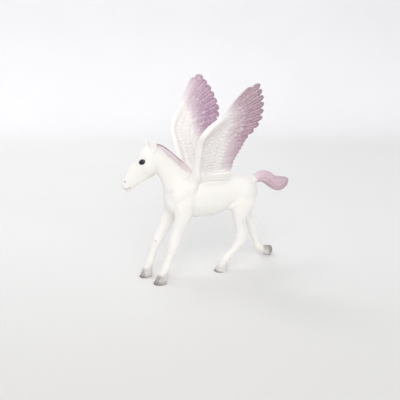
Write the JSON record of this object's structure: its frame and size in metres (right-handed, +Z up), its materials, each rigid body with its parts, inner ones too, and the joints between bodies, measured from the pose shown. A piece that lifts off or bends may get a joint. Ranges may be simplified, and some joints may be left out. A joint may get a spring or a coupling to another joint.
{
  "type": "winged foal toy figure",
  "caption": "Small moulded toy figure of a prancing winged foal: white body with dark eyes, raised mauve feathered wings, short mane, curled tail and grey hooves.",
  "frame": {"origin": "middle of the footprint of the whole figure, on the ground under the hooves", "axes": "the foal faces -X, its left side is -Y, +Z is up from the ground to the wing tips"},
  "size_m": [0.1016, 0.0686, 0.109],
  "materials": {
    "torso": "satin moulded PVC, painted off-white",
    "head_and_neck": "satin moulded PVC, painted off-white",
    "foreleg_left": "satin moulded PVC, painted off-white",
    "foreleg_right": "satin moulded PVC, painted off-white",
    "hind_leg_left": "satin moulded PVC, painted off-white",
    "hind_leg_right": "satin moulded PVC, painted off-white",
    "wing_left": "satin moulded PVC, off-white sprayed to mauve at the feather tips",
    "wing_right": "satin moulded PVC, off-white sprayed to mauve at the feather tips",
    "tail": "satin moulded PVC, painted mauve"
  },
  "bodies": {
    "root": {"torso": "torso", "head_and_neck": "head_and_neck", "foreleg_left": "foreleg_left", "foreleg_right": "foreleg_right", "hind_leg_left": "hind_leg_left", "hind_leg_right": "hind_leg_right", "wing_left": "wing_left", "wing_right": "wing_right", "tail": "tail"}
  },
  "joints": []
}
